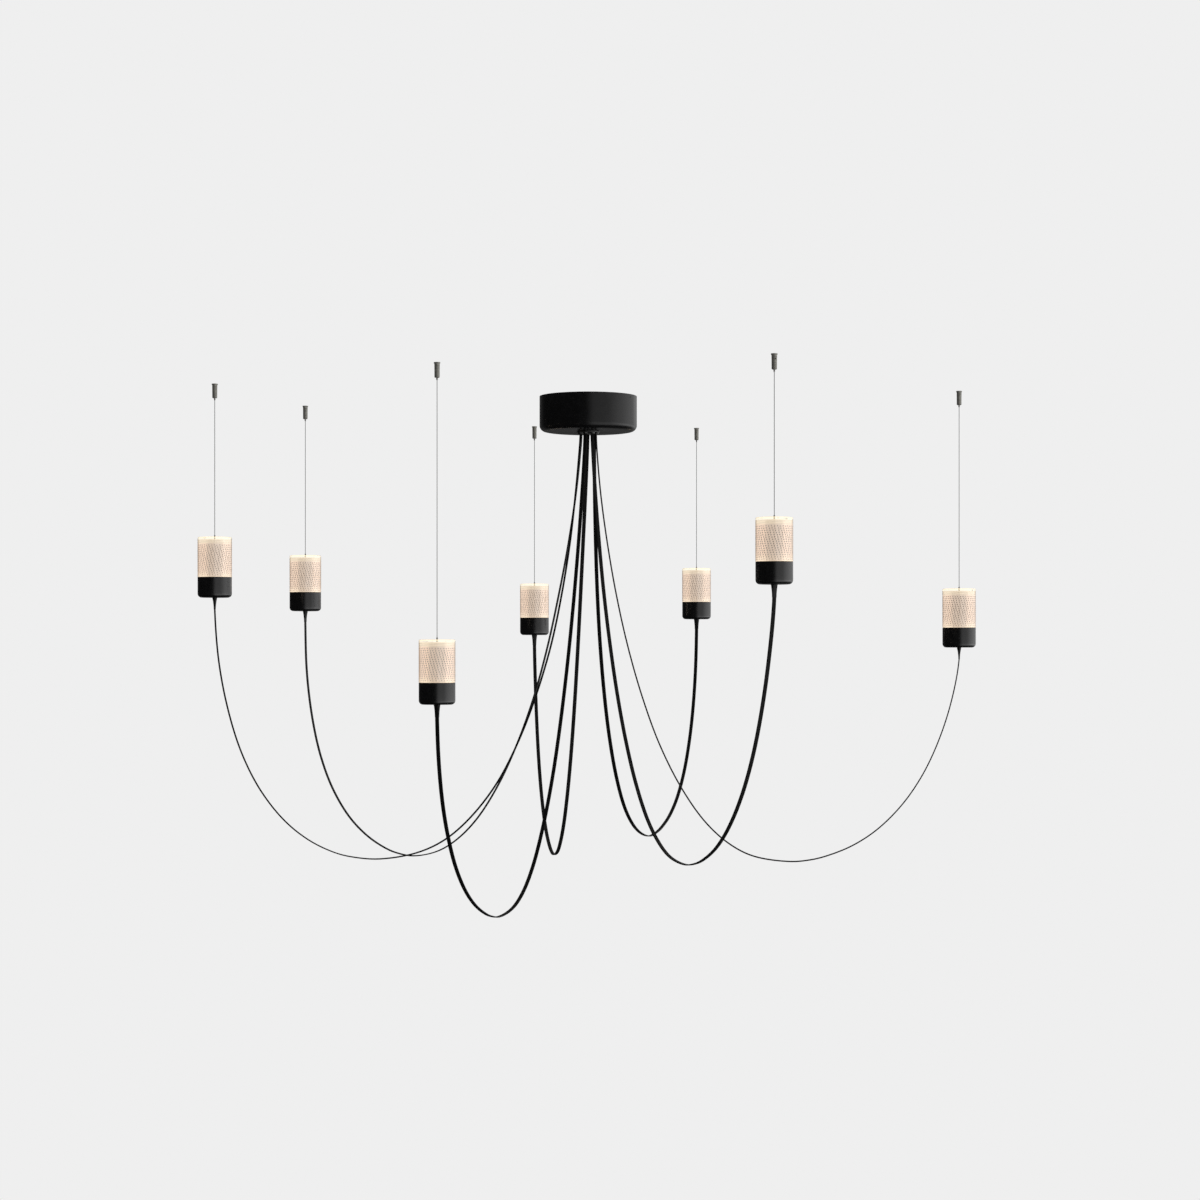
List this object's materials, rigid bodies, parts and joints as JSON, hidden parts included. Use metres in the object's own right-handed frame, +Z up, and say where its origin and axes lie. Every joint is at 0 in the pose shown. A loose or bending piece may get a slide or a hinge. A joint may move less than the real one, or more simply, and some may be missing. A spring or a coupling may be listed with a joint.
{
  "type": "glass pendant chandelier",
  "caption": "Chandelier of lit glass cylinders in black cups, hung on wires at different heights and fed by looping flat cords from a round black ceiling canopy.",
  "frame": {"origin": "centre of the ceiling plate's top face, on the ceiling", "axes": "+Z up along the canopy's axis; +X to the right and +Y away as seen from the front"},
  "size_m": [1.6247, 1.6058, 1.0854],
  "materials": {
    "satin_black": "satin black powder coat",
    "zinc_plate": "zinc-plated pressed steel",
    "driver_housing": "matt off-white housing",
    "black_nylon": "matt black moulded nylon",
    "gunmetal": "gunmetal plated, turned",
    "nickel": "dark nickel plated",
    "wire": "stranded galvanised steel",
    "shade_glass": "clear thick glass, dots etched inside, lit warm white",
    "heat_sink": "cast aluminium with a white ring board",
    "boot_rubber": "soft black rubber",
    "cord_jacket": "matt black flat cord jacket"
  },
  "bodies": {
    "canopy": {"ceiling_plate": "zinc_plate", "canopy_cover": "satin_black", "led_driver": "driver_housing", "cord_gland": "black_nylon", "ceiling_gripper_1": "gunmetal", "ceiling_gripper_2": "gunmetal", "ceiling_gripper_3": "gunmetal", "ceiling_gripper_4": "gunmetal", "ceiling_gripper_5": "gunmetal", "ceiling_gripper_6": "gunmetal", "ceiling_gripper_7": "gunmetal", "flat_cord_1": "cord_jacket", "flat_cord_2": "cord_jacket", "flat_cord_3": "cord_jacket", "flat_cord_4": "cord_jacket", "flat_cord_5": "cord_jacket", "flat_cord_6": "cord_jacket", "flat_cord_7": "cord_jacket"},
    "lamp_1": {"suspension_wire_1": "wire", "glass_shade_1": "shade_glass", "lamp_cup_1": "satin_black", "light_engine_1": "heat_sink", "cord_boot_1": "boot_rubber"},
    "release_1": {"release_nozzle_1": "nickel"},
    "lamp_2": {"suspension_wire_2": "wire", "glass_shade_2": "shade_glass", "lamp_cup_2": "satin_black", "light_engine_2": "heat_sink", "cord_boot_2": "boot_rubber"},
    "release_2": {"release_nozzle_2": "nickel"},
    "lamp_3": {"suspension_wire_3": "wire", "glass_shade_3": "shade_glass", "lamp_cup_3": "satin_black", "light_engine_3": "heat_sink", "cord_boot_3": "boot_rubber"},
    "release_3": {"release_nozzle_3": "nickel"},
    "lamp_4": {"suspension_wire_4": "wire", "glass_shade_4": "shade_glass", "lamp_cup_4": "satin_black", "light_engine_4": "heat_sink", "cord_boot_4": "boot_rubber"},
    "release_4": {"release_nozzle_4": "nickel"},
    "lamp_5": {"suspension_wire_5": "wire", "glass_shade_5": "shade_glass", "lamp_cup_5": "satin_black", "light_engine_5": "heat_sink", "cord_boot_5": "boot_rubber"},
    "release_5": {"release_nozzle_5": "nickel"},
    "lamp_6": {"suspension_wire_6": "wire", "glass_shade_6": "shade_glass", "lamp_cup_6": "satin_black", "light_engine_6": "heat_sink", "cord_boot_6": "boot_rubber"},
    "release_6": {"release_nozzle_6": "nickel"},
    "lamp_7": {"suspension_wire_7": "wire", "glass_shade_7": "shade_glass", "lamp_cup_7": "satin_black", "light_engine_7": "heat_sink", "cord_boot_7": "boot_rubber"},
    "release_7": {"release_nozzle_7": "nickel"}
  },
  "joints": [
    {"name": "lamp_1_height", "type": "slide", "parent": "canopy", "child": "lamp_1", "axis": [0, 0, 1], "range_m": [0, 0.1], "deforming": ["suspension_wire_1", "flat_cord_1"]},
    {"name": "release_1_push", "type": "slide", "parent": "canopy", "child": "release_1", "axis": [0, 0, 1], "range_m": [0, 0.003], "stiffness_N_per_m": 200, "springref_m": -0.004},
    {"name": "lamp_2_height", "type": "slide", "parent": "canopy", "child": "lamp_2", "axis": [0, 0, 1], "range_m": [0, 0.1], "deforming": ["suspension_wire_2", "flat_cord_2"]},
    {"name": "release_2_push", "type": "slide", "parent": "canopy", "child": "release_2", "axis": [0, 0, 1], "range_m": [0, 0.003], "stiffness_N_per_m": 200, "springref_m": -0.004},
    {"name": "lamp_3_height", "type": "slide", "parent": "canopy", "child": "lamp_3", "axis": [0, 0, 1], "range_m": [0, 0.1], "deforming": ["suspension_wire_3", "flat_cord_3"]},
    {"name": "release_3_push", "type": "slide", "parent": "canopy", "child": "release_3", "axis": [0, 0, 1], "range_m": [0, 0.003], "stiffness_N_per_m": 200, "springref_m": -0.004},
    {"name": "lamp_4_height", "type": "slide", "parent": "canopy", "child": "lamp_4", "axis": [0, 0, 1], "range_m": [0, 0.1], "deforming": ["suspension_wire_4", "flat_cord_4"]},
    {"name": "release_4_push", "type": "slide", "parent": "canopy", "child": "release_4", "axis": [0, 0, 1], "range_m": [0, 0.003], "stiffness_N_per_m": 200, "springref_m": -0.004},
    {"name": "lamp_5_height", "type": "slide", "parent": "canopy", "child": "lamp_5", "axis": [0, 0, 1], "range_m": [0, 0.1], "deforming": ["suspension_wire_5", "flat_cord_5"]},
    {"name": "release_5_push", "type": "slide", "parent": "canopy", "child": "release_5", "axis": [0, 0, 1], "range_m": [0, 0.003], "stiffness_N_per_m": 200, "springref_m": -0.004},
    {"name": "lamp_6_height", "type": "slide", "parent": "canopy", "child": "lamp_6", "axis": [0, 0, 1], "range_m": [0, 0.1], "deforming": ["suspension_wire_6", "flat_cord_6"]},
    {"name": "release_6_push", "type": "slide", "parent": "canopy", "child": "release_6", "axis": [0, 0, 1], "range_m": [0, 0.003], "stiffness_N_per_m": 200, "springref_m": -0.004},
    {"name": "lamp_7_height", "type": "slide", "parent": "canopy", "child": "lamp_7", "axis": [0, 0, 1], "range_m": [0, 0.1], "deforming": ["suspension_wire_7", "flat_cord_7"]},
    {"name": "release_7_push", "type": "slide", "parent": "canopy", "child": "release_7", "axis": [0, 0, 1], "range_m": [0, 0.003], "stiffness_N_per_m": 200, "springref_m": -0.004}
  ]
}
